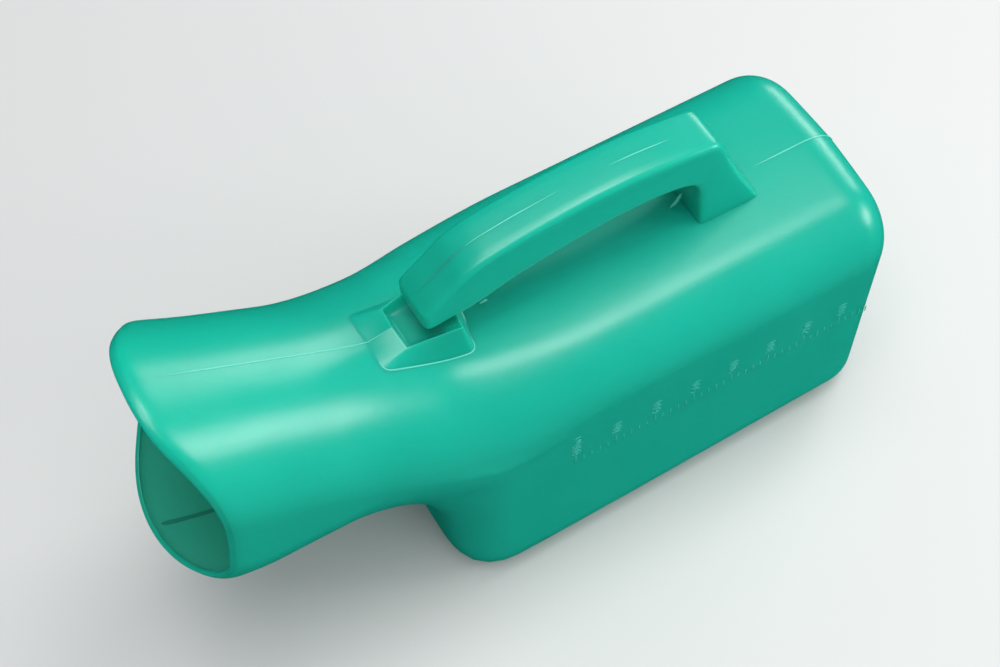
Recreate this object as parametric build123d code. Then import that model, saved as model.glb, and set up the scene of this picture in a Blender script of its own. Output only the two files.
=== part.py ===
from build123d import *

import os

# Hand-held urine bottle, lying on its long flat side as it is stored beside a bed.
# +Z is up, the mouth faces -X, the rear end faces +X and the volume scale is on -Y.
# The origin is under the middle of the bottle, on the surface it lies on.
# The real bottle is one hollow blow moulding; the nodes are its walls and features,
# which meet face to face.

# ---- Driving dimensions, millimetres --------------------------------------------------
WALL = 1.5              # thickness of the blown wall
WIDTH = 79.0            # reservoir, across Y
BODY_LENGTH = 155.0     # rear face to front wall
REAR_HEIGHT = 101.0     # roof at the rear face
FRONT_HEIGHT = 107.5    # roof above the front wall
TOP_EDGE_RADIUS = 18.0
BOTTOM_EDGE_RADIUS = 13.0
END_RADIUS = 12.5       # edges round the rear face and round the front wall
REAR_BOW = 1.2          # swell of the rear face at its middle
LIP_STATION = 238.5     # lower lip, the foremost point
LIP_BAND = 5.0          # depth of the band that carries the rolled lip
NECK_RADIUS = 33.0

SEAM_HEIGHT = 0.5       # raised parting line
SEAM_WIDTH = 1.0
RELIEF = 0.3            # height of the moulded scale above the wall

# Stations are distances forward of the rear face.
REAR_X = (LIP_STATION - REAR_BOW - SEAM_HEIGHT) / 2
PANEL_LOW = 14.0        # joint between the base panel and the upright walls
PANEL_HIGH = 82.0       # joint between the side walls and the roof
REAR_PANEL = 14.0       # depth of the rear end wall's node
SHOULDER_START = 137.0
NECK_START = 178.0
FRONT_WALL_TOP = 50.0

# Sections of the shoulder and neck: station, half width, low Z, high Z, corner radius
NECK_SECTIONS = (
    (138.0, 38.8, 48.0, 105.0, 22.5),
    (150.0, 38.2, 53.5, 109.5, 24.5),
    (160.0, 36.3, 57.0, 114.8, 27.0),
    (170.0, 34.4, 59.2, 121.0, 29.5),
    (184.0, NECK_RADIUS, 60.5, 130.1, 31.0),
    (205.0, NECK_RADIUS, 62.1, 144.0, 31.5),
    (215.0, 33.5, 63.9, 150.6, 31.5),
    (225.0, 34.0, 67.9, 157.2, 31.5),
    (236.0, 34.4, 74.2, 164.2, 31.5),
    (242.0, 34.5, 78.0, 168.0, 31.5),
)
# Side view of the rim, from the lower lip up: station, Z
RIM_CURVE = ((240.5, 75.3), (228.2, 86.0), (222.9, 104.0), (221.8, 120.0), (223.3, 140.0), (232.4, 165.0))

SADDLE_TOP = 118.6      # flat pad under the tip of the handle; its outline is given at this level
SADDLE_FRONT = 168.0
SADDLE_REAR = 137.6
SADDLE_HALF_FRONT = 9.0
SADDLE_HALF_REAR = 10.2
SADDLE_DRAFT = 18.0     # slope of its sides, degrees from upright

HANDLE_WIDTH = 15.6
HANDLE_EDGE_RADIUS = 2.4
HANDLE_CORNER_RADIUS = 2.6
HANDLE_TOP = 146.2      # crown of the grip
TIP_STATION = 149.5
TIP_LOW = 121.4         # under the tip, clear of the saddle
TIP_REAR = 134.0
POST_FRONT = 57.0

# Remnants of trimmed flash on the roof, behind the saddle and in front of the post: station, Z
FRONT_FLASH = ((134.0, 105.0), (127.5, 105.0), (127.5, 107.4), (134.0, 109.0))
REAR_FLASH = ((60.5, 102.5), (54.0, 102.5), (54.0, 110.5), (57.5, 110.5))

MARK_100_STATION = 18.7     # centre of the 100 ml mark
MARK_PITCH = 13.62          # 100 ml along the scale near the rear end
MARK_PITCH_GROWTH = 0.07    # the pitch widens slightly towards the shoulder
MARK_COUNT = 8
MINORS_PER_MARK = 5
MARK_LOW_Z = 53.0           # lower ends of the marks at the 100 ml mark
MARK_SLOPE = 0.055          # rise of the row of marks towards the shoulder
MINOR_LENGTH = 3.8
MAJOR_LENGTH = 5.6
MARK_WIDTH = 0.5
DIGIT_GAP = 1.4             # from a major mark to its number
DIGIT_GRID = 0.72           # digits are drawn on a grid two steps wide and four high
DIGIT_ADVANCE = 2.5         # from one digit to the next
DIGIT_STROKE = 0.45

# Strokes of each character on the grid
CHARACTERS = {
    "0": (((0, 0), (2, 0), (2, 4), (0, 4), (0, 0)),),
    "1": (((0, 3), (1, 4), (1, 0)),),
    "2": (((0, 4), (2, 4), (2, 2), (0, 2), (0, 0), (2, 0)),),
    "3": (((0, 4), (2, 4), (2, 0), (0, 0)), ((0, 2), (2, 2))),
    "4": (((0, 4), (0, 2), (2, 2)), ((2, 4), (2, 0))),
    "5": (((2, 4), (0, 4), (0, 2), (2, 2), (2, 0), (0, 0)),),
    "6": (((2, 4), (0, 4), (0, 0), (2, 0), (2, 2)), ((0, 2), (2, 2))),
    "7": (((0, 4), (2, 4), (1, 0)),),
    "8": (((0, 0), (2, 0), (2, 4), (0, 4), (0, 0)), ((0, 2), (2, 2))),
    "m": (((0, 0), (0, 2.5), (2, 2.5), (2, 0)), ((1, 2.5), (1, 0))),
    "l": (((1, 0), (1, 4)),),
}

FAR = 400.0             # larger than the bottle, for half-space cutters


def x_at(station):
    return REAR_X - station


def slab(x_low, x_high, z_low, z_high, half_width=FAR):
    """A box given by its X and Z ranges, centred on the parting plane."""
    size = Box(x_high - x_low, 2 * half_width, z_high - z_low)
    return Pos((x_low + x_high) / 2, 0, (z_low + z_high) / 2) * size


def reservoir(inset):
    """The rounded box of the reservoir, outside (inset 0) or inside (inset WALL)."""
    rear, front = x_at(inset), x_at(BODY_LENGTH - inset)
    half = WIDTH / 2 - inset
    outline = Polyline((rear, -half), (front, -half), (front, half), (rear, half))
    outline += ThreePointArc((rear, half), (rear + REAR_BOW, 0), (rear, -half))
    block = Pos(0, 0, inset) * extrude(make_face(outline), FRONT_HEIGHT + FAR)
    roof = make_face(Plane.XZ * Polyline(
        (x_at(-REAR_BOW * 5), REAR_HEIGHT - inset), (x_at(BODY_LENGTH + 1), FRONT_HEIGHT - inset),
        (x_at(BODY_LENGTH + 1), 2 * FAR), (x_at(-REAR_BOW * 5), 2 * FAR), close=True))
    block -= extrude(roof, WIDTH, both=True)
    long_edges = [e for e in block.edges() if e.bounding_box().size.X > BODY_LENGTH / 2]
    top = [e for e in long_edges if e.center().Z > REAR_HEIGHT / 2]
    block = fillet(top, TOP_EDGE_RADIUS - inset)
    long_edges = [e for e in block.edges() if e.bounding_box().size.X > BODY_LENGTH / 2]
    low = [e for e in long_edges if e.center().Z < inset + 0.1]
    block = fillet(low, BOTTOM_EDGE_RADIUS - inset)
    for end in (max, min):
        face = end(block.faces(), key=lambda f: f.center().X)
        block = fillet(face.edges(), END_RADIUS - inset)
    return block


def ring(station, half_width, low, high, radius, inset):
    """One upright rounded section of the shoulder or neck."""
    middle = Plane(origin=(x_at(station), 0, (low + high) / 2), x_dir=(0, 1, 0), z_dir=(1, 0, 0))
    return middle * RectangleRounded(2 * (half_width - inset), high - low - 2 * inset, radius - inset)


def neck(inset):
    """The shoulder and neck, rising from the front of the reservoir to beyond the rim."""
    return loft([ring(*section, inset) for section in NECK_SECTIONS])


def saddle(inset):
    """The raised flat pad that the tip of the handle reaches over."""
    rear, front = x_at(SADDLE_REAR + inset), x_at(SADDLE_FRONT)
    top = SADDLE_TOP - inset
    front_half, rear_half = SADDLE_HALF_FRONT - inset, SADDLE_HALF_REAR - inset
    outline = make_face(Polyline((front, -front_half), (rear, -rear_half),
                                 (rear, rear_half), (front, front_half), close=True))
    depth = top - REAR_HEIGHT + 2 * WALL
    return Pos(0, 0, top) * extrude(outline, depth, dir=(0, 0, -1), taper=-SADDLE_DRAFT)


def handle_outline():
    """Side view of the handle: free tip, arched grip and the post that joins the roof."""
    crown = ThreePointArc((x_at(134.0), 141.4), (x_at(94.0), HANDLE_TOP), (x_at(53.0), 140.0))
    post_and_underside = Polyline(
        (x_at(53.0), 140.0), (x_at(49.0), 131.0), (x_at(43.0), 116.0), (x_at(36.0), 97.0),
        (x_at(55.0), 97.0), (x_at(POST_FRONT), 121.0), (x_at(62.0), 125.5))
    grip_low = ThreePointArc((x_at(62.0), 125.5), (x_at(92.0), 129.0), (x_at(124.0), 124.5))
    tip = Polyline((x_at(124.0), 124.5), (x_at(TIP_REAR), TIP_LOW), (x_at(TIP_STATION), TIP_LOW),
                   (x_at(TIP_STATION), 128.6), (x_at(134.0), 141.4))
    side = make_face(Plane.XZ * (crown + post_and_underside + grip_low + tip))
    return fillet([v for v in side.vertices() if v.Z > FRONT_HEIGHT], HANDLE_CORNER_RADIUS)


def handle(inset):
    """The hollow handle; its post opens into the reservoir."""
    side = handle_outline()
    if inset:
        return extrude(offset(side, -inset, kind=Kind.INTERSECTION), HANDLE_WIDTH / 2 - inset, both=True)
    body = extrude(side, HANDLE_WIDTH / 2, both=True)
    flats = [f for f in body.faces() if abs(f.center().Y) > HANDLE_WIDTH / 2 - 0.01]
    return fillet([e for f in flats for e in f.edges()], HANDLE_EDGE_RADIUS)


def rim_cutter(setback):
    """Everything in front of the curved rim, or of a line that far behind it."""
    curve = Spline([(x_at(s) + setback, z) for s, z in RIM_CURVE])
    ends = (RIM_CURVE[0], RIM_CURVE[-1])
    low, high = [(x_at(station) + setback, z) for station, z in ends]
    frame = Polyline(high, (high[0] - 20, FAR / 2), (-FAR, FAR / 2), (-FAR, 0), (low[0] - 4, 0), low)
    return extrude(make_face(Plane.XZ * (curve + frame)), WIDTH, both=True)


def biggest(shape):
    return max(shape.solids(), key=lambda s: s.volume)


def mark_station(marks):
    """Station of a mark, counted in hundreds of millilitres above the 100 ml mark."""
    return MARK_100_STATION + MARK_PITCH * marks + MARK_PITCH_GROWTH * marks ** 2


def mark_low(station):
    return MARK_LOW_Z + MARK_SLOPE * (station - MARK_100_STATION)


def tick(marks, length):
    """One raised stroke of the scale, on the -Y wall."""
    station = mark_station(marks)
    where = Pos(x_at(station), -WIDTH / 2 - RELIEF / 2, mark_low(station) + length / 2)
    return where * Box(MARK_WIDTH, RELIEF, length)


def character(symbol):
    """The strokes of one character as a flat outline, with its foot on the local X axis."""
    lines = [Polyline([(DIGIT_GRID * x, DIGIT_GRID * y) for x, y in stroke])
             for stroke in CHARACTERS[symbol]]
    return Sketch() + [trace(line, DIGIT_STROKE) for line in lines]


def numeral(marks):
    """The number beside a major mark; it reads upright while the bottle stands on its rear end."""
    station = mark_station(marks)
    words = f"{100 * (marks + 1)}" + (" ml" if marks == MARK_COUNT - 1 else "")
    low = mark_low(station) + MAJOR_LENGTH + DIGIT_GAP
    foot = x_at(station) + 2 * DIGIT_GRID
    face = Plane(origin=(foot, -WIDTH / 2, low), x_dir=(0, 0, 1), z_dir=(0, -1, 0))
    letters = [face * Pos(DIGIT_ADVANCE * i, 0, 0) * character(c) for i, c in enumerate(words) if c != " "]
    return [extrude(letter, RELIEF) for letter in letters]


def flash(points):
    """A thin remnant of trimmed flash on the parting plane."""
    outline = Polyline([(x_at(s), z) for s, z in points], close=True)
    return extrude(make_face(Plane.XZ * outline), SEAM_WIDTH / 2, both=True)


def build():
    bottle_outer = reservoir(0) + neck(0)
    bottle_inner = reservoir(WALL) + neck(WALL)
    cutter = rim_cutter(0)
    outer = bottle_outer - cutter
    everything = outer + saddle(0) + handle(0)
    shell = everything - bottle_inner - saddle(WALL) - handle(WALL)
    walls = shell & outer
    above = shell - outer

    upright = slab(-FAR, FAR, PANEL_LOW, FAR)
    rear_zone = slab(x_at(REAR_PANEL), FAR, PANEL_LOW, FAR)
    middle = slab(x_at(SHOULDER_START), x_at(REAR_PANEL), PANEL_LOW, FAR)
    side_band = slab(-FAR, FAR, PANEL_LOW, PANEL_HIGH)
    front_zone = slab(-FAR, x_at(SHOULDER_START), PANEL_LOW, FAR)
    low_front = slab(-FAR, x_at(SHOULDER_START), PANEL_LOW, FRONT_WALL_TOP)
    lip_zone = rim_cutter(LIP_BAND)
    neck_zone = slab(-FAR, x_at(NECK_START), PANEL_LOW, FAR)

    sides = (walls & middle) & side_band
    nodes = {
        "base_panel": walls - upright,
        "rear_end_wall": walls & rear_zone,
        "graduated_side_wall": min(sides.solids(), key=lambda s: s.center().Y),
        "plain_side_wall": max(sides.solids(), key=lambda s: s.center().Y),
        "roof_panel": (walls & middle) - side_band,
        "front_wall": walls & low_front,
        "shoulder_shell": (walls & front_zone) - low_front - neck_zone,
        "neck_shell": (walls & neck_zone) - lip_zone,
        "mouth_lip": (walls & neck_zone) & lip_zone,
        "handle_saddle": above & slab(x_at(SADDLE_FRONT + 7), x_at(SADDLE_REAR - 7), 100, SADDLE_TOP + 0.5),
        "handle_tip": above & slab(x_at(TIP_STATION + 1), x_at(TIP_REAR), SADDLE_TOP + 0.5, FAR),
        "handle_grip": above & slab(x_at(TIP_REAR), x_at(POST_FRONT), SADDLE_TOP + 0.5, FAR),
        "handle_post": above & slab(x_at(POST_FRONT), x_at(20), 98, FAR),
    }

    blade = everything & Box(2 * FAR, SEAM_WIDTH, 2 * FAR)
    raised = Pos(0, 0, SEAM_HEIGHT) * blade - everything
    nodes["neck_seam"] = biggest(raised & slab(x_at(224), x_at(SADDLE_FRONT), 110, FAR))
    nodes["grip_seam"] = biggest(raised & slab(x_at(TIP_STATION), x_at(55), 130, FAR))
    nodes["roof_seam"] = biggest(raised & slab(x_at(33), x_at(8), 95, 110))
    nodes["rear_seam"] = biggest((Pos(SEAM_HEIGHT, 0, 0) * blade - everything)
                                 & slab(x_at(0), FAR, PANEL_LOW, 88))

    hundreds = range(MARK_COUNT)
    minors = [m + n / MINORS_PER_MARK for m in range(-1, MARK_COUNT - 1) for n in range(1, MINORS_PER_MARK)]
    nodes["scale_major_marks"] = Compound([tick(m, MAJOR_LENGTH) for m in hundreds])
    nodes["scale_minor_marks"] = Compound([tick(m, MINOR_LENGTH) for m in minors])
    nodes["scale_numbers"] = Compound([s for m in hundreds for letter in numeral(m) for s in letter.solids()])

    nodes["front_flash"] = flash(FRONT_FLASH) - everything
    nodes["rear_flash"] = flash(REAR_FLASH) - everything
    return nodes


os.makedirs("parts", exist_ok=True)
for name, shape in build().items():
    export_step(shape, f"parts/{name}.step")
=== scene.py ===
import math

import bmesh
import bpy
import numpy as np
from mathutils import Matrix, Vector


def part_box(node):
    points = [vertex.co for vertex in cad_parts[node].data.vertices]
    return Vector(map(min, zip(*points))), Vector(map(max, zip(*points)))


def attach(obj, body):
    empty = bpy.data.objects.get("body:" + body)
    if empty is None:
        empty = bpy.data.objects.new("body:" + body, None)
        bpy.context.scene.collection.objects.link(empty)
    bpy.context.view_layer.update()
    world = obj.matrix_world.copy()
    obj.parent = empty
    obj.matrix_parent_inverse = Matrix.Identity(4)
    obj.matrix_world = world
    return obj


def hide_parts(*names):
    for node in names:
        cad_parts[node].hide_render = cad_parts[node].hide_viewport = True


# The looks of a blow moulded urine bottle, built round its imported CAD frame.
# Shapes are worked out in millimetres and turned into metres when a mesh is made.
# A station is the distance forward of the rear face, towards the mouth (-X).

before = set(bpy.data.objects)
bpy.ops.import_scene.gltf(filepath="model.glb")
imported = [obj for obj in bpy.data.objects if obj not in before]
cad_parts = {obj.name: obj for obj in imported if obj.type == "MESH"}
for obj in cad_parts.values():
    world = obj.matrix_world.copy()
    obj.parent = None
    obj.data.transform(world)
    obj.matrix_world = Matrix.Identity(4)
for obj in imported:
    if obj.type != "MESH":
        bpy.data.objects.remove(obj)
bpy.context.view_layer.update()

MM = 0.001

# ---- Places taken from the frame -------------------------------------------------------
base_low, base_high = (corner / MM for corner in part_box("base_panel"))
saddle_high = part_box("handle_saddle")[1] / MM

# ---- The reservoir and the neck, millimetres -------------------------------------------
HALF_WIDTH = base_high.y
REAR_BOW = 1.2              # swell of the rear face at the parting plane
REAR_X = base_high.x - REAR_BOW
BODY_FRONT = REAR_X - base_low.x    # station of the front wall
WALL = 1.6
ROOF_AT_REAR = 99.4         # roof height beside the crown, at station 0
ROOF_RISE = 0.0405          # rise per millimetre towards the mouth
ROOF_CROWN = 1.9            # extra height along the middle of the roof
CROWN_FADE = (140.0, 175.0) # the crown spreads to the whole neck between these stations
NECK_RISE = 0.62            # extra rise per millimetre once the neck turns up
NECK_BEND_STATION = 149.6
NECK_BEND_SOFTNESS = 6.5
ROOF_EDGE_RADIUS = 18.6
BASE_EDGE_RADIUS = 13.0
REAR_EDGE_RADIUS = 13.0
FRONT_EDGE_RADIUS = 15.0
JOINT_BLEND = 43.2          # reach of the concave blend between the front wall and the neck
NECK_RADIUS = 32.9
NECK_FLARE = 1.6            # extra half width gained towards the rim
FLARE_SPAN = (200.0, 236.0) # stations over which the neck flares
TAPER_START, TAPER_END = 131.0, 186.0
ROUNDING_START = 98.0       # where the roof edges start to open out into the round neck
SHOULDER_STATION = 108.0    # the reservoir's own roof stops rising here
SHOULDER_RADIUS = 33.0      # roof edge radius of the reservoir at its front end
STRAIGHT_END = 97.0         # last plain ring of the reservoir
NECK_RING = 186.0           # first plain ring of the neck
# Side view of the open rim, from below up, and of the neck's underside: station, height
RIM = ((247.0, 72.0), (239.1, 76.0), (233.5, 80.0), (228.2, 86.0), (224.6, 94.0), (222.9, 104.0),
       (221.8, 120.0), (223.3, 140.0), (226.4, 150.0), (228.6, 155.0), (231.0, 161.0), (232.6, 166.0))
NECK_FLOOR = ((150.0, 59.6), (176.0, 59.9), (192.0, 61.2), (205.0, 62.1), (215.0, 63.7),
              (225.0, 67.9), (236.0, 74.2), (244.0, 79.5))
RIM_SKEW = -2.0             # the rim was trimmed slightly askew: longer on the graduated side
LIP_ROLL = 5.0              # length over which the outer wall curls in towards the rim
LIP_INSET = 1.3             # how far it curls in

# How the rings of the bottle's skin are laid out
AROUND = 144                # points round each ring
FACE_SIZES = (0.06, 0.2, 0.36, 0.52, 0.68, 0.82, 0.93)      # rings of the rear face, as shares
BODY_RINGS, SHOULDER_RINGS, NECK_RINGS = 34, 24, 12
NECK_RINGS_END = 0.84       # share of the way to the rim that the even neck rings reach
RIM_SHARES = (0.89, 0.92, 0.945, 0.965, 0.98, 0.99, 1.0)    # closer rings where the lip curls
RELAX_ROUNDS = 60


def smooth(low, high, value):
    t = np.clip((value - low) / (high - low), 0, 1)
    return t * t * (3 - 2 * t)


def roof_height(station):
    bend = NECK_BEND_SOFTNESS * np.logaddexp(0, (station - NECK_BEND_STATION) / NECK_BEND_SOFTNESS)
    spread = ROOF_CROWN * smooth(*CROWN_FADE, station)
    return ROOF_AT_REAR + ROOF_RISE * station + NECK_RISE * bend + spread


def curve(knots, values, at):
    """A smooth curve through the given values, carried on a little past both ends."""
    knots, values = np.asarray(knots, float), np.asarray(values, float)
    slopes = np.gradient(values, knots)
    i = np.clip(np.searchsorted(knots, at) - 1, 0, len(knots) - 2)
    span = knots[i + 1] - knots[i]
    t = np.clip((at - knots[i]) / span, -0.3, 1.3)
    return ((2 * t**3 - 3 * t**2 + 1) * values[i] + (t**3 - 2 * t**2 + t) * span * slopes[i]
            + (3 * t**2 - 2 * t**3) * values[i + 1] + (t**3 - t**2) * span * slopes[i + 1])


def neck_floor(station):
    stations, heights = zip(*NECK_FLOOR)
    return curve(stations, heights, np.maximum(station, stations[0]))


def tube_form(station):
    """Half width, roof height, roof edge radius and crown of the bottle's upper part."""
    taper = smooth(TAPER_START, TAPER_END, station)
    half = HALF_WIDTH + (NECK_RADIUS - HALF_WIDTH) * taper + NECK_FLARE * smooth(*FLARE_SPAN, station)
    rounding = smooth(ROUNDING_START, TAPER_END, station)
    radius = ROOF_EDGE_RADIUS + (NECK_RADIUS - ROOF_EDGE_RADIUS) * rounding
    crown = ROOF_CROWN * (1 - smooth(*CROWN_FADE, station))
    return half, roof_height(station), radius, crown


def outline(half, low, high, low_radius, high_radius, crown):
    """One closed section as (y, z) rows, evenly spaced, from the top middle round by -y."""
    up = np.radians(np.linspace(90, 180, 40))
    down = np.radians(np.linspace(180, 270, 40))
    y = np.concatenate([np.linspace(0, -(half - high_radius), 24)[:-1],
                        -(half - high_radius) + high_radius * np.cos(up),
                        -(half - low_radius) + low_radius * np.cos(down),
                        np.linspace(-(half - low_radius), 0, 24)[1:]])
    z = np.concatenate([np.full(23, high), high - high_radius + high_radius * np.sin(up),
                        low + low_radius + low_radius * np.sin(down), np.full(23, low)])
    middle = (low + high) / 2
    z = z + crown * (1 - (y / half) ** 2) * np.clip((z - middle) / (high - middle), 0, 1)
    run = np.concatenate([[0], np.cumsum(np.hypot(np.diff(y), np.diff(z)))])
    even = np.linspace(0, run[-1], AROUND // 2 + 1)
    y, z = np.interp(even, run, y), np.interp(even, run, z)
    return np.concatenate([np.stack([y, z], 1), np.stack([-y, z], 1)[-2:0:-1]])


def body_ring(station, inset=0.0):
    """A plain ring of the reservoir as (station, y, z) rows."""
    half, high, radius, crown = tube_form(min(station, STRAIGHT_END))
    section = outline(half - inset, inset, high - inset, BASE_EDGE_RADIUS - inset, radius - inset, crown)
    return np.column_stack([np.full(AROUND, station), section])


def neck_section(station):
    half, high, radius, crown = tube_form(station)
    floor = neck_floor(station)
    top_radius = min(radius, half - 0.2, (high - floor) / 2)
    low_radius = min(half - 0.2, high - floor - top_radius)
    return outline(half, floor, high, low_radius, top_radius, crown)


def rim_station(height):
    stations, heights = zip(*RIM)
    return curve(heights, stations, height)


def neck_ring(share):
    """A ring of the neck: share 0 is the plain ring behind it, share 1 follows the curved rim."""
    stations = np.full(AROUND, NECK_RING + share * 40)
    for _ in range(25):
        section = np.array([neck_section(s)[j] for j, s in enumerate(stations)])
        rim = rim_station(section[:, 1]) + RIM_SKEW * section[:, 0] / NECK_RADIUS
        target = NECK_RING + share * (rim - NECK_RING)
        stations = 0.5 * (stations + target)
    return np.column_stack([stations, section])


def section_distance(y, z, half, low, high, low_radius, high_radius):
    """Signed distance from a section with its own radii above and below."""
    middle = (low + high) / 2
    radius = np.where(z > middle, high_radius, low_radius)
    across = np.abs(y) - half + radius
    upright = np.abs(z - middle) - (high - low) / 2 + radius
    outside = np.hypot(np.maximum(across, 0), np.maximum(upright, 0))
    return outside + np.minimum(np.maximum(across, upright), 0) - radius


def body_distance(p):
    """Signed distance from the reservoir, its front wall and edges included."""
    _, high, _, crown = tube_form(np.minimum(p[:, 0], SHOULDER_STATION))
    high = high + crown * (1 - (p[:, 1] / HALF_WIDTH) ** 2)
    rounding = smooth(ROUNDING_START, BODY_FRONT - 5, p[:, 0])
    radius = ROOF_EDGE_RADIUS + (SHOULDER_RADIUS - ROOF_EDGE_RADIUS) * rounding
    side = section_distance(p[:, 1], p[:, 2], HALF_WIDTH, 0.0, high, BASE_EDGE_RADIUS, radius)
    side, ahead = side + FRONT_EDGE_RADIUS, p[:, 0] - BODY_FRONT + FRONT_EDGE_RADIUS
    outside = np.hypot(np.maximum(side, 0), np.maximum(ahead, 0))
    return outside + np.minimum(np.maximum(side, ahead), 0) - FRONT_EDGE_RADIUS


def neck_distance(p):
    """Signed distance from the tube that runs on from the roof into the neck."""
    half, high, radius, crown = tube_form(p[:, 0])
    high = high + crown * (1 - (p[:, 1] / half) ** 2)
    floor = neck_floor(p[:, 0])
    return section_distance(p[:, 1], p[:, 2], half, floor, high, NECK_RADIUS, np.minimum(radius, half))


def slope(distance, p):
    """Gradient of a distance at the given points."""
    step = 0.05
    rows = []
    for axis in np.eye(3) * step:
        rows.append((distance(p + axis) - distance(p - axis)) / (2 * step))
    return np.column_stack(rows)


def settle(p):
    """Moves points onto the reservoir and neck, joined by a concave blend where they meet at an angle."""
    for _ in range(4):
        body, neck = body_distance(p), neck_distance(p)
        body_slope, neck_slope = slope(body_distance, p), slope(neck_distance, p)
        lengths = np.linalg.norm(body_slope, axis=1) * np.linalg.norm(neck_slope, axis=1)
        angle = 1 - np.sum(body_slope * neck_slope, axis=1) / np.maximum(lengths, 1e-6)
        blend = JOINT_BLEND * np.clip(angle, 0, 1) + 1e-3
        share = np.clip(0.5 + 0.5 * (neck - body) / blend, 0, 1)
        height = neck + (body - neck) * share - blend * share * (1 - share)
        normal = neck_slope + (body_slope - neck_slope) * share[:, None]
        p = p - normal * (height / np.maximum(np.sum(normal**2, axis=1), 0.2))[:, None]
    return p


def shoulder_rings(rear, front, count):
    """Rings between the reservoir and the neck, evened out and settled on the surface."""
    steps = np.linspace(0, 1, count + 2)[:, None, None]
    rings = rear[None] * (1 - steps) + front[None] * steps
    for _ in range(RELAX_ROUNDS):
        inner = rings[1:-1]
        beside = (np.roll(inner, 1, 1) + np.roll(inner, -1, 1)) / 2
        along = (rings[:-2] + rings[2:]) / 2
        relaxed = 0.4 * inner + 0.35 * along + 0.25 * beside
        rings[1:-1] = settle(relaxed.reshape(-1, 3)).reshape(relaxed.shape)
        rings[:, :, 1] = (rings[:, :, 1] - rings[:, (-np.arange(AROUND)) % AROUND, 1]) / 2
    return list(rings[1:-1])


def rear_rings():
    """Rings from the middle of the rear face out over its rounded edge."""
    rings = []
    last = None
    for turn in np.radians(np.linspace(84, 0, 10)):
        inset = REAR_EDGE_RADIUS * (1 - math.cos(turn))
        ring = body_ring(REAR_EDGE_RADIUS, inset * 0.96)
        ring[:, 0] = REAR_EDGE_RADIUS * (1 - math.sin(turn))
        last = ring.copy() if last is None else last
        rings.append(ring)
    centre = last.mean(axis=0)
    face = []
    for size in FACE_SIZES:
        ring = centre + (last - centre) * size
        ring[:, 0] = 0.0
        face.append(ring)
    rings = face + rings
    for ring in rings:
        bow = np.clip(1 - np.abs(ring[:, 1]) / (HALF_WIDTH - 6), 0, 1)
        ring[:, 0] -= REAR_BOW * bow * (1 - smooth(0, REAR_EDGE_RADIUS, ring[:, 0]))
    return rings


def bottle_rings():
    """All rings of the outer wall, from the middle of the rear face to the rim."""
    plain = [body_ring(s) for s in np.linspace(REAR_EDGE_RADIUS, STRAIGHT_END, BODY_RINGS)][1:]
    even_shares = np.linspace(0, NECK_RINGS_END, NECK_RINGS)
    neck = [neck_ring(share) for share in np.concatenate([even_shares, RIM_SHARES])]
    return rear_rings() + plain + shoulder_rings(plain[-1], neck[0], SHOULDER_RINGS) + neck


RINGS = bottle_rings()


def ring_normals(rings):
    """Outward normals at every point of the rings."""
    grid = np.array(rings)
    along = np.gradient(grid, axis=0)
    around = (np.roll(grid, -1, 1) - np.roll(grid, 1, 1)) / 2
    normal = np.cross(around, along)
    return normal / np.maximum(np.linalg.norm(normal, axis=2, keepdims=True), 1e-9)


# ---- Making meshes ----------------------------------------------------------------------
def to_world(p):
    """Stations and heights in millimetres to metres in the row frame."""
    p = np.asarray(p, float)
    return np.column_stack([REAR_X - p[:, 0], p[:, 1], p[:, 2]]) * MM


def make_piece(name, points, faces, replaced=(), levels=0):
    """One mesh that rides on the bottle, standing in for the CAD nodes it replaces."""
    mesh = bpy.data.meshes.new(name)
    mesh.from_pydata(to_world(points).tolist(), [], [tuple(f) for f in faces])
    mesh.validate()
    piece = bpy.data.objects.new(name, mesh)
    bpy.context.scene.collection.objects.link(piece)
    set_outward(piece)
    mesh.shade_smooth()
    if levels:
        surface = piece.modifiers.new("surface", "SUBSURF")
        surface.levels = surface.render_levels = levels
    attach(piece, "root")
    if replaced:
        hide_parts(*replaced)
    return piece


def set_outward(piece):
    bm = bmesh.new()
    bm.from_mesh(piece.data)
    bmesh.ops.recalc_face_normals(bm, faces=bm.faces)
    bm.to_mesh(piece.data)
    bm.free()


def tube_faces(rings, around):
    """Quads between rings that are stacked one after the other."""
    faces = []
    for i in range(rings - 1):
        for j in range(around):
            k = (j + 1) % around
            faces.append((i * around + j, i * around + k, (i + 1) * around + k, (i + 1) * around + j))
    return faces


def lip_rings(edge, normals, thickness):
    """The rounded edge of the mouth, from the outer wall over to the inner wall."""
    forward = np.array([1.0, 0, 0])
    rings = []
    for turn in np.radians((30, 60, 90, 120, 150)):
        ring = edge - normals * (thickness / 2) * (1 - math.cos(turn))
        rings.append(ring + forward * (thickness * 0.5) * math.sin(turn))
    return rings


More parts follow.
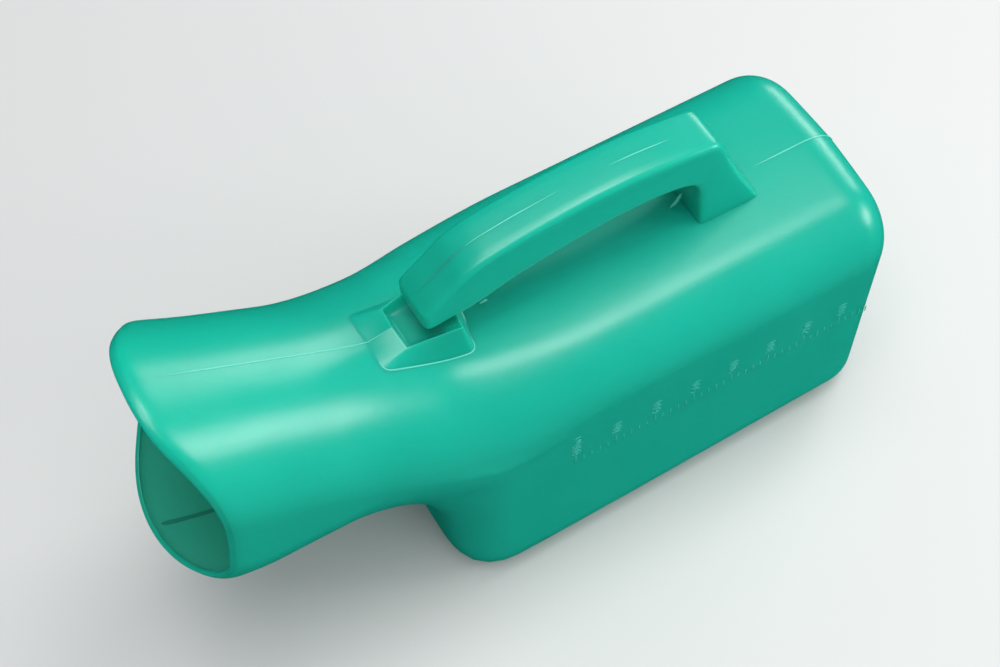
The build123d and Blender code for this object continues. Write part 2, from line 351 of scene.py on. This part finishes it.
def make_bottle():
    """The skin: outer wall, lip and inner wall in one closed mesh; inner faces take material 1."""
    normals = ring_normals(RINGS)
    outer, inner = [], []
    for ring, normal in zip(RINGS, normals):
        room = np.clip(np.linalg.norm(RINGS[-1] - ring, axis=1) / LIP_ROLL, 0, 1)
        curl = LIP_INSET * (1 - np.sqrt(1 - (1 - room) ** 2))[:, None]
        outer.append(ring - normal * curl)
        inner.append(ring - normal * (curl + WALL))
    lip = lip_rings(outer[-1], normals[-1], WALL)
    everything = outer + lip + inner[::-1]
    points = np.concatenate(everything)
    faces = tube_faces(len(everything), AROUND)
    first, last = len(points), len(points) + 1
    points = np.concatenate([points, [outer[0].mean(axis=0)], [inner[0].mean(axis=0)]])
    tail = (len(everything) - 1) * AROUND
    for j in range(AROUND):
        k = (j + 1) % AROUND
        faces.append((first, k, j))
        faces.append((last, tail + j, tail + k))
    walls = ("base_panel", "rear_end_wall", "graduated_side_wall", "plain_side_wall", "roof_panel",
             "front_wall", "shoulder_shell", "neck_shell", "mouth_lip")
    piece = make_piece("bottle_skin", points, faces, walls, levels=1)
    inside = len(outer) + len(lip)
    for face in piece.data.polygons:
        face.material_index = int(min(face.vertices) >= inside * AROUND)
    return piece


# ---- Handle -----------------------------------------------------------------------------
# Rungs of the handle's side view, from the tip to the foot of the post:
# station and height on the top, station and height on the underside.
HANDLE_RUNGS = (
    (148.6, 129.1, 148.6, 122.0),
    (147.0, 130.8, 147.0, 121.5),
    (141.0, 136.0, 142.0, 121.5),
    (135.6, 140.6, 136.0, 121.6),
    (129.5, 143.2, 130.0, 122.6),
    (122.9, 144.4, 124.0, 124.6),
    (109.4, 145.7, 109.8, 127.4),
    (94.4, 146.2, 94.4, 129.0),
    (79.9, 145.5, 80.2, 129.2),
    (66.2, 143.4, 68.5, 127.6),
    (57.2, 141.5, 62.0, 125.4),
    (52.2, 140.0, 58.6, 123.0),
    (49.8, 136.8, 57.0, 119.6),
    (47.0, 129.0, 56.6, 115.0),
    (42.2, 117.5, 56.4, 109.0),
    (37.2, 107.0, 56.4, 103.0),
    (32.8, 98.5, 56.4, 97.5),
)
HANDLE_HALF = 8.0
POST_FLARE = 1.5            # extra half width at the foot of the post
FLARE_FROM, FLARE_TO = 138.0, 101.0     # heights between which the post widens
HANDLE_CORNER = 2.3
FOOT_CORNER_LOSS = 0.45     # share by which the corner radius shrinks at the foot
CORNER_STEPS = 4
HANDLE_RINGS = 90
# Rings that round off the tip, from its middle out: size, and how far each stands ahead
NOSE = ((0.5, 0.9), (0.74, 0.75), (0.9, 0.42))


def rung_ring(rung, half, corner):
    """A rounded rectangle hung on one rung, as points round it."""
    top, low = np.array([rung[0], rung[1]]), np.array([rung[2], rung[3]])
    up = (top - low) / np.linalg.norm(top - low)
    tall = np.linalg.norm(top - low)
    corner = min(corner, tall / 2.2, half / 1.2)
    points = []
    for side, level, start in ((-1, tall, 90), (-1, 0, 180), (1, 0, 270), (1, tall, 0)):
        y0 = side * (half - corner)
        h0 = level + (-corner if level else corner)
        for turn in np.radians(np.linspace(start, start + 90, CORNER_STEPS)):
            place = low + up * (h0 + corner * math.sin(turn))
            points.append((place[0], y0 + corner * math.cos(turn), place[1]))
    return np.array(points)


def spaced_rungs(rungs, count):
    """More rungs between the given ones, along a smooth curve."""
    rungs = np.array(rungs)
    middle = (rungs[:, :2] + rungs[:, 2:]) / 2
    run = np.concatenate([[0], np.cumsum(np.linalg.norm(np.diff(middle, axis=0), axis=1))])
    slopes = np.gradient(rungs, run, axis=0)
    result = []
    for at in np.linspace(0, run[-1], count):
        i = min(max(int(np.searchsorted(run, at)) - 1, 0), len(run) - 2)
        span = run[i + 1] - run[i]
        t = (at - run[i]) / span
        result.append((2 * t**3 - 3 * t**2 + 1) * rungs[i] + (t**3 - 2 * t**2 + t) * span * slopes[i]
                      + (3 * t**2 - 2 * t**3) * rungs[i + 1] + (t**3 - t**2) * span * slopes[i + 1])
    return result


def make_handle():
    rings = []
    for rung in spaced_rungs(HANDLE_RUNGS, HANDLE_RINGS):
        foot = smooth(FLARE_FROM, FLARE_TO, rung[1])
        corner = HANDLE_CORNER * (1 - FOOT_CORNER_LOSS * foot)
        rings.append(rung_ring(rung, HANDLE_HALF + POST_FLARE * foot, corner))
    around = len(rings[0])
    tip = rings[0]
    centre = tip.mean(axis=0)
    nose = []
    for size, ahead in NOSE:
        ring = centre + (tip - centre) * size
        nose.append(ring + np.array([ahead, 0, 0]))
    rings = nose + rings
    points = np.concatenate(rings + [[nose[0].mean(axis=0)], [rings[-1].mean(axis=0)]])
    faces = tube_faces(len(rings), around)
    tail = (len(rings) - 1) * around
    for j in range(around):
        k = (j + 1) % around
        faces.append((len(points) - 2, k, j))
        faces.append((len(points) - 1, tail + j, tail + k))
    return make_piece("carrying_handle", points, faces,
                      ("handle_grip", "handle_tip", "handle_post"), levels=1)


# ---- Saddle under the tip ---------------------------------------------------------------
SADDLE_TOP = saddle_high.z
SEAT_DEPTH = 0.8            # the seat lies a little below its rim
SEAT_HOLLOW = 2.8           # and dips this much more ahead of the tip
HOLLOW_SPAN = (141.5, 146.5)
SEAT_CENTRE = 147.0
# Steps in from the rim of the seat: distance, and share of the drop to the seat's floor
SEAT_STEPS = ((4.5, 1.0), (2.6, 1.0), (1.9, 0.93), (1.3, 0.7), (0.8, 0.38), (0.45, 0.14), (0.2, 0.02))
# Rings down the flank, as shares of the way to the foot, then past it: share, and drop
FLANK_SHARES = (0.0, 0.03, 0.08, 0.2, 0.4, 0.6, 0.75, 0.87, 0.95, 1.0)
SKIRT = ((1.06, 0.0), (1.16, 0.06), (1.3, 0.5))
SOFT_BLEND, CRISP_BLEND = 0.13, 0.02   # how softly the saddle's flanks run out into the roof
CREST_RISE = 1.3            # the front of the rim peaks at the parting plane
CREST_SHARE = 0.6           # share of that rise above the seat's rim; the rest is below it
# Half outlines as (station, y): the rim of the seat, and the foot on the roof.
SEAT_RIM = ((156.0, 0.0), (155.3, -7.3), (138.5, -10.2), (137.6, 0.0))
SADDLE_FOOT = ((163.6, 0.0), (164.4, -10.2), (136.0, -13.2), (133.8, 0.0))
SEAT_MIDDLE = 2             # the loops' row on the parting plane, at the front
EDGE_STEPS = 8
CORNER_ARC = 6
SEAT_CORNER, FOOT_CORNER = 0.5, 3.0


def roof_at(station, y):
    """Height of the roof or the neck's top beside the parting plane."""
    half, high, radius, crown = tube_form(station)
    over = np.maximum(np.abs(y) - (half - radius), 0)
    return high + crown * (1 - (y / half) ** 2) - (radius - np.sqrt(radius**2 - over**2))


def skin_height(station, y):
    """Height of the outer wall's upper side, the blend into the neck included."""
    height = roof_at(station, y)
    for _ in range(4):
        height = settle(np.column_stack([station, y, height]))[:, 2]
    return height


def seat_floor(place):
    """Height of the seat's floor at (station, y) rows."""
    return SADDLE_TOP - SEAT_DEPTH - SEAT_HOLLOW * smooth(*HOLLOW_SPAN, place[:, 0])


def rounded_loop(half_outline, radius):
    """A closed loop through a mirrored outline, its corners rounded, for matching loops."""
    corners = list(half_outline) + [(s, -y) for s, y in half_outline[-2:0:-1]]
    corners = np.array(corners, float)
    loop = []
    for i, corner in enumerate(corners):
        before, after = corners[i - 1], corners[(i + 1) % len(corners)]
        cut = 0.01 if abs(corner[1]) < 0.01 else radius
        start = corner + (before - corner) / np.linalg.norm(before - corner) * cut
        end = corner + (after - corner) / np.linalg.norm(after - corner) * cut
        for t in np.linspace(0, 1, CORNER_ARC):
            loop.append((1 - t) ** 2 * start + 2 * t * (1 - t) * corner + t**2 * end)
        next_cut = 0.01 if abs(after[1]) < 0.01 else radius
        next_start = after + (corner - after) / np.linalg.norm(corner - after) * next_cut
        for t in np.linspace(0, 1, EDGE_STEPS + 2)[1:-1]:
            loop.append(end + (next_start - end) * t)
    return np.array(loop)


def saddle_loops():
    """Matching loops of the seat's rim and of the saddle's foot, as (station, y) rows."""
    return rounded_loop(SEAT_RIM, SEAT_CORNER), rounded_loop(SADDLE_FOOT, FOOT_CORNER)


def saddle_flank(share):
    """One ring down the saddle's flank: share 0 is the rim, 1 the foot, more runs on into the roof."""
    rim, foot = saddle_loops()
    place = rim + (foot - rim) * share
    ahead = smooth(SEAT_CENTRE, SEAT_RIM[0][0], rim[:, 0])
    top = SADDLE_TOP + CREST_RISE * ahead * (CREST_SHARE - np.abs(rim[:, 1] / SEAT_RIM[1][1]))
    crisp = smooth(-2, -6, rim[:, 1]) * (1 - smooth(151, 155.3, rim[:, 0]))
    blend = SOFT_BLEND + (CRISP_BLEND - SOFT_BLEND) * crisp
    left = blend * np.logaddexp(0, (1 - share) / blend)
    ground = skin_height(place[:, 0], place[:, 1])
    foot_ground = skin_height(foot[:, 0], foot[:, 1])
    level = np.where(share < 1, foot_ground, ground)
    return np.column_stack([place, level + (top - foot_ground) * left])


def make_saddle():
    crest = saddle_flank(0.0)
    inward = np.array([SEAT_CENTRE, 0.0]) - crest[:, :2]
    inward /= np.linalg.norm(inward, axis=1, keepdims=True)
    rings = []
    for step, drop in SEAT_STEPS:
        place = crest[:, :2] + inward * step
        rings.append(np.column_stack([place, crest[:, 2] + (seat_floor(place) - crest[:, 2]) * drop]))
    rings += [saddle_flank(share) for share in FLANK_SHARES]
    for share, drop in SKIRT:
        rings.append(saddle_flank(share) - np.array([0.0, 0.0, drop]))
    around = len(crest)
    middle = np.array([[SEAT_CENTRE, 0.0]])
    points = np.concatenate(rings + [np.column_stack([middle, seat_floor(middle)])])
    faces = tube_faces(len(rings), around)
    for j in range(around):
        faces.append((len(points) - 1, (j + 1) % around, j))
    return make_piece("handle_rest", points, faces, ("handle_saddle",), levels=1)


# ---- Fine ridges: parting lines and the scale -------------------------------------------
def ridge(path, up, width, height, taper=0.0):
    """A low rounded ridge along a path of 3-D points; returns its points and faces."""
    path, up = np.asarray(path, float), np.asarray(up, float)
    up = np.broadcast_to(up, path.shape)
    along = np.gradient(path, axis=0)
    along /= np.linalg.norm(along, axis=1, keepdims=True)
    side = np.cross(along, up)
    side /= np.linalg.norm(side, axis=1, keepdims=True)
    run = np.concatenate([[0], np.cumsum(np.linalg.norm(np.diff(path, axis=0), axis=1))])
    ends = np.minimum(run, run[-1] - run)
    size = np.clip((ends + 0.15) / (taper + 0.15), 0.05, 1)[:, None]
    rings = []
    for turn in np.radians((200, 180, 150, 120, 90, 60, 30, 0, -20)):
        rings.append(path + side * width / 2 * math.cos(turn) * size + up * height * math.sin(turn) * size)
    grid = np.stack(rings, 1)
    count = grid.shape[1]
    faces = tube_faces(len(path), count)
    last = (len(path) - 1) * count
    faces.append(tuple(range(count)))
    faces.append(tuple(range(last + count - 1, last - 1, -1)))
    return grid.reshape(-1, 3), faces


def make_ridges(name, ridges, replaced=()):
    """Several ridges as one piece."""
    points, faces = [], []
    start = 0
    for some_points, some_faces in ridges:
        points.append(some_points)
        faces += [tuple(i + start for i in face) for face in some_faces]
        start += len(some_points)
    return make_piece(name, np.concatenate(points), faces, replaced)


def plane_normals(path):
    """Outward normals of a path that lies in the parting plane."""
    along = np.gradient(path, axis=0)
    normal = np.column_stack([-along[:, 2], np.zeros(len(path)), along[:, 0]])
    outward = normal[:, 0] * (path[:, 0] - 80) * 0.2 + normal[:, 2] * (path[:, 2] - 50)
    normal *= np.where(outward < 0, -1, 1)[:, None]
    return normal / np.linalg.norm(normal, axis=1, keepdims=True)


def parting_ridge(path, width, height, taper):
    """A ridge along a path in the parting plane, standing out from the plastic."""
    return ridge(path, plane_normals(path), width, height, taper)


def top_path(rear, front):
    """Points along the top of the neck in the parting plane, about 2 mm apart."""
    stations = np.linspace(rear, front, int((front - rear) / 2))
    return np.column_stack([stations, 0 * stations, skin_height(stations, 0 * stations)])


def handle_path(start, end):
    """Points along the handle's top between two stations, tip side first."""
    tops = np.array([(r[0], 0.0, r[1]) for r in spaced_rungs(HANDLE_RUNGS, 160)])
    keep = (tops[:, 0] <= start) & (tops[:, 0] >= end)
    return tops[keep]


def neck_line():
    """Down the saddle's front facet, then along the top of the neck."""
    flank = [saddle_flank(share)[SEAT_MIDDLE] for share in (0.02, 0.2, 0.4, 0.6, 0.75, 0.87, 1.0)]
    return parting_ridge(np.concatenate([flank, top_path(165.0, 224.0)]), 0.5, 0.22, 12)


def rear_line():
    """From the roof behind the post over the rear edge and down the rear face."""
    rows = [ring[0] for ring in reversed(RINGS[:26]) if ring[0][0] < 31]
    rows += [ring[AROUND // 2] for ring in RINGS[:9]]
    path = np.array([(max(s, -REAR_BOW), 0.0, z) for s, _, z in rows])
    return parting_ridge(path, 0.5, 0.2, 8)


def inner_line():
    """Along the floor of the neck, inside the mouth."""
    stations = np.linspace(205, 237, 20)
    floor_slope = np.gradient(neck_floor(stations), stations)
    heights = neck_floor(stations) + WALL * np.sqrt(1 + floor_slope**2)
    path = np.column_stack([stations, 0 * stations, heights])
    return ridge(path, (0, 0, 1), 1.5, 0.2, 3)


def saddle_foot_line():
    """Round the near half of the saddle's foot: a low bead whose pale colour is a painted highlight line.
    """
    foot = saddle_flank(1.0)
    path = foot[foot[:, 1] < -7.0] + np.array([0.0, -0.1, 0.02])
    return ridge(path, (0, -0.3, 0.95), 0.5, 0.2, 3)


def make_parting_lines():
    grip = [parting_ridge(handle_path(136.0, 100.0), 0.4, 0.14, 14),
            parting_ridge(handle_path(86.0, 64.0), 0.45, 0.16, 6)]
    tip = [parting_ridge(handle_path(147.5, 128.0), 0.4, 0.1, 8)]
    return (
        make_ridges("neck_parting_line", [neck_line()], ("neck_seam",)),
        make_ridges("grip_parting_line", grip, ("grip_seam",)),
        make_ridges("tip_parting_line", tip),
        make_ridges("rear_parting_line", [rear_line()], ("roof_seam", "rear_seam")),
        make_ridges("saddle_foot_highlight_bead", [saddle_foot_line()]),
        make_ridges("inner_parting_line", [inner_line()]),
    )


def make_flash():
    """Thin remnants of trimmed flash behind the saddle and in the corner of the post."""
    behind_saddle = np.array([(s, 0.0, roof_at(s, 0.0)) for s in (124.6, 125.4, 126.2, 127.0, 127.8)])
    post_corner = np.array([(57.2, 0, 109.5), (57.6, 0, 107.6), (58.4, 0, 105.8), (59.6, 0, 104.6),
                            (61.2, 0, 103.9)])
    front = [ridge(behind_saddle, (0, 0, 1), 0.5, 0.9, 0.8)]
    rear = [ridge(post_corner, (0.7, 0, 0.7), 0.6, 1.2, 1.0)]
    return (
        make_ridges("front_flash_fin", front, ("front_flash",)),
        make_ridges("rear_flash_fin", rear, ("rear_flash",)),
    )


# ---- The scale, moulded on the -Y wall --------------------------------------------------
FIRST_MARK = 18.7           # station of the 100 ml mark
MARK_PITCH = 13.62          # 100 ml along the scale near the rear end
MARK_GROWTH = 0.07          # the pitch widens slightly towards the shoulder
MARK_COUNT = 8
MINORS_PER_MARK = 5
MARK_LOW = 53.0             # lower ends of the marks at the 100 ml mark
MARK_SLOPE = 0.055
MINOR_LENGTH, MAJOR_LENGTH = 3.8, 5.6
NUMBER_GAP = 1.4
LETTER_GRID = 0.72          # letters are drawn on a grid two steps wide and four high
LETTER_ADVANCE = 2.55
SCALE_STROKE, SCALE_RELIEF = 0.48, 0.16

# Strokes of each character on the grid
CHARACTERS = {
    "0": (((0, 0), (2, 0), (2, 4), (0, 4), (0, 0)),),
    "1": (((0, 3), (1, 4), (1, 0)),),
    "2": (((0, 4), (2, 4), (2, 2), (0, 2), (0, 0), (2, 0)),),
    "3": (((0, 4), (2, 4), (2, 0), (0, 0)), ((0, 2), (2, 2))),
    "4": (((0, 4), (0, 2), (2, 2)), ((2, 4), (2, 0))),
    "5": (((2, 4), (0, 4), (0, 2), (2, 2), (2, 0), (0, 0)),),
    "6": (((2, 4), (0, 4), (0, 0), (2, 0), (2, 2)), ((0, 2), (2, 2))),
    "7": (((0, 4), (2, 4), (1, 0)),),
    "8": (((0, 0), (2, 0), (2, 4), (0, 4), (0, 0)), ((0, 2), (2, 2))),
    "m": (((0, 0), (0, 2.5), (2, 2.5), (2, 0)), ((1, 2.5), (1, 0))),
    "l": (((1, 0), (1, 4)),),
}


def mark_place(marks):
    """Station and lower end of a mark, counted in hundreds above the 100 ml mark."""
    station = FIRST_MARK + MARK_PITCH * marks + MARK_GROWTH * marks**2
    return station, MARK_LOW + MARK_SLOPE * (station - FIRST_MARK)


def wall_ridge(start, end):
    """A ridge on the flat -Y wall between two (station, height) places."""
    steps = np.linspace(0, 1, 4)[:, None]
    flat = np.array(start) * (1 - steps) + np.array(end) * steps
    path = np.column_stack([flat[:, 0], np.full(4, -HALF_WIDTH), flat[:, 1]])
    return ridge(path, (0, -1, 0), SCALE_STROKE, SCALE_RELIEF, 0.3)


def tick(marks, length):
    station, low = mark_place(marks)
    return wall_ridge((station, low), (station, low + length))


def number_ridges(marks):
    """The number beside a major mark; it reads upright while the bottle stands on its rear end."""
    station, low = mark_place(marks)
    words = f"{100 * (marks + 1)}" + ("ml" if marks == MARK_COUNT - 1 else "")
    low += MAJOR_LENGTH + NUMBER_GAP
    foot = station - 2 * LETTER_GRID
    ridges = []
    for i, symbol in enumerate(words):
        for stroke in CHARACTERS[symbol]:
            places = [(foot + LETTER_GRID * y, low + LETTER_ADVANCE * i + LETTER_GRID * x)
                      for x, y in stroke]
            ridges += [wall_ridge(a, b) for a, b in zip(places, places[1:])]
    return ridges


def make_scale():
    hundreds = range(MARK_COUNT)
    majors = [tick(m, MAJOR_LENGTH) for m in hundreds]
    minors = [tick(m + n / MINORS_PER_MARK, MINOR_LENGTH)
              for m in range(-1, MARK_COUNT - 1) for n in range(1, MINORS_PER_MARK)]
    numbers = [r for m in hundreds for r in number_ridges(m)]
    return (
        make_ridges("scale_majors", majors, ("scale_major_marks",)),
        make_ridges("scale_minors", minors, ("scale_minor_marks",)),
        make_ridges("scale_digits", numbers, ("scale_numbers",)),
    )


# ---- Materials --------------------------------------------------------------------------
CLOUD_SCALE = 22            # slow drift of the colour
HAZE_SCALE = 60             # uneven sheen
PEEL_SCALE = 420            # fine orange peel of the blown surface
PEEL_DEPTH = 0.00008
SCATTER_RADIUS = (0.25, 1.0, 0.8)   # red is taken up soonest
SCATTER_DEPTH = 0.006


def noise(nodes, links, place, scale, detail):
    """A noise texture fixed to the piece."""
    texture = nodes.new("ShaderNodeTexNoise")
    texture.inputs["Scale"].default_value = scale
    texture.inputs["Detail"].default_value = detail
    links.new(place.outputs["Object"], texture.inputs["Vector"])
    return texture.outputs["Fac"]


def plastic(name, deep, pale, rough, grain=0.35, scatter=0.0):
    """Tinted polyethylene: two close greens, an uneven sheen and a fine grain."""
    material = bpy.data.materials.new(name)
    material.use_nodes = True
    nodes, links = material.node_tree.nodes, material.node_tree.links
    shader = nodes["Principled BSDF"]
    place = nodes.new("ShaderNodeTexCoord")

    tint = nodes.new("ShaderNodeMix")
    tint.data_type = "RGBA"
    tint.inputs["A"].default_value = (*deep, 1)
    tint.inputs["B"].default_value = (*pale, 1)
    links.new(noise(nodes, links, place, CLOUD_SCALE, 3), tint.inputs["Factor"])
    links.new(tint.outputs["Result"], shader.inputs["Base Color"])

    sheen = nodes.new("ShaderNodeMapRange")
    sheen.inputs["To Min"].default_value = rough - 0.04
    sheen.inputs["To Max"].default_value = rough + 0.06
    links.new(noise(nodes, links, place, HAZE_SCALE, 5), sheen.inputs["Value"])
    links.new(sheen.outputs["Result"], shader.inputs["Roughness"])

    relief = nodes.new("ShaderNodeBump")
    relief.inputs["Strength"].default_value = grain
    relief.inputs["Distance"].default_value = PEEL_DEPTH
    links.new(noise(nodes, links, place, PEEL_SCALE, 2), relief.inputs["Height"])
    links.new(relief.outputs["Normal"], shader.inputs["Normal"])

    shader.inputs["IOR"].default_value = 1.52
    shader.inputs["Subsurface Weight"].default_value = scatter
    shader.inputs["Subsurface Radius"].default_value = SCATTER_RADIUS
    shader.inputs["Subsurface Scale"].default_value = SCATTER_DEPTH
    return material


# ---- Camera, light and floor ------------------------------------------------------------
CAMERA_PLACE = (-0.15326, -0.24965, 0.61341)
CAMERA_FORWARD = (0.24955, 0.41181, -0.87643)
CAMERA_LENS = 72.4


def make_camera():
    data = bpy.data.cameras.new("camera")
    data.lens = CAMERA_LENS
    data.sensor_width = 36.0
    camera = bpy.data.objects.new("camera", data)
    camera.location = CAMERA_PLACE
    camera.rotation_euler = Vector(CAMERA_FORWARD).to_track_quat("-Z", "Y").to_euler()
    bpy.context.scene.collection.objects.link(camera)
    bpy.context.scene.camera = camera


def area_light(name, place, aim_height, size, power, reflected=True):
    """A soft light aimed over the middle of the bottle."""
    data = bpy.data.lights.new(name, "AREA")
    data.shape = "RECTANGLE"
    data.size, data.size_y = size
    data.energy = power
    light = bpy.data.objects.new(name, data)
    light.location = place
    light.visible_glossy = reflected
    aim = Vector((0, 0, aim_height)) - Vector(place)
    light.rotation_euler = aim.to_track_quat("-Z", "Y").to_euler()
    bpy.context.scene.collection.objects.link(light)


def make_floor():
    """A plain pale floor; it lights the bottle but isn't mirrored in it."""
    size = 6.0
    mesh = bpy.data.meshes.new("floor")
    corners = [(-size, -size, 0), (size, -size, 0), (size, size, 0), (-size, size, 0)]
    mesh.from_pydata(corners, [], [(0, 1, 2, 3)])
    floor = bpy.data.objects.new("floor", mesh)
    bpy.context.scene.collection.objects.link(floor)
    material = bpy.data.materials.new("floor_paper")
    material.use_nodes = True
    shader = material.node_tree.nodes["Principled BSDF"]
    shader.inputs["Base Color"].default_value = (0.62, 0.62, 0.61, 1)
    shader.inputs["Roughness"].default_value = 0.7
    mesh.materials.append(material)
    floor.visible_glossy = False


def make_lights():
    """Soft studio light: two panels above, two at the rear, a broad fill on the graduated side."""
    world = bpy.data.worlds.new("studio")
    world.use_nodes = True
    background = world.node_tree.nodes["Background"]
    background.inputs["Color"].default_value = (0.9, 0.95, 1.0, 1)
    background.inputs["Strength"].default_value = 0.42
    world.cycles_visibility.glossy = False
    bpy.context.scene.world = world
    area_light("overhead", (-0.08, -0.1, 1.35), 0.05, (0.86, 1.0), 11)
    area_light("key", (0.46, 0.08, 1.15), 0.05, (0.45, 0.4), 3.6)
    area_light("side_panel", (0.95, -0.43, 0.42), 0.08, (0.34, 0.34), 3.6)
    area_light("rear_panel", (1.05, 0.5, 0.36), 0.08, (0.5, 0.3), 3.0)
    area_light("fill", (0.6, -1.5, 0.55), 0.05, (2.0, 0.9), 8.5, reflected=False)


# ---- Putting it together ----------------------------------------------------------------
make_camera()
make_floor()
make_lights()

bottle_plastic = plastic("bottle_plastic", (0.002, 0.36, 0.255), (0.006, 0.42, 0.305), 0.3, scatter=0.55)
# The inner wall takes its own copy of the plastic, greyer and paler, its tone set to the light and shade
# inside the neck: painted shading.
inside_painted_shading = plastic("inside_painted_shading", (0.03, 0.42, 0.31), (0.07, 0.54, 0.42), 0.5, scatter=0.3)
# Raised seams, flash fins and the saddle's foot bead are paler than the bottle: a painted highlight for
# the bright lines they catch.
ridge_painted_highlight = plastic("ridge_painted_highlight", (0.08, 0.54, 0.42), (0.12, 0.60, 0.48), 0.3, grain=0.1)
# The raised scale is paler than the wall it stands on: a painted highlight for the glint of its marks and
# digits.
scale_painted_highlight = plastic("scale_painted_highlight", (0.03, 0.46, 0.35), (0.06, 0.52, 0.41), 0.24, grain=0.1)
# The inner and tip parting lines are raised ridges coloured darker than the bottle: painted shade.
seam_painted_shade = plastic("seam_painted_shade", (0.015, 0.27, 0.19), (0.03, 0.33, 0.24), 0.5)

bottle = make_bottle()
bottle.data.materials.append(bottle_plastic)
bottle.data.materials.append(inside_painted_shading)
for piece in (make_handle(), make_saddle()):
    piece.data.materials.append(bottle_plastic)
# Most fine ridges are pale, a painted highlight; the inner and tip parting lines are dark, a painted
# shade.
for piece in make_parting_lines() + make_flash():
    shaded = piece.name in ("inner_parting_line", "tip_parting_line")
    piece.data.materials.append(seam_painted_shade if shaded else ridge_painted_highlight)
for piece in make_scale():
    piece.data.materials.append(scale_painted_highlight)

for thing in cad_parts.values():
    thing.data.materials.clear()
    thing.data.materials.append(bottle_plastic)

bpy.context.scene.view_settings.view_transform = "Standard"
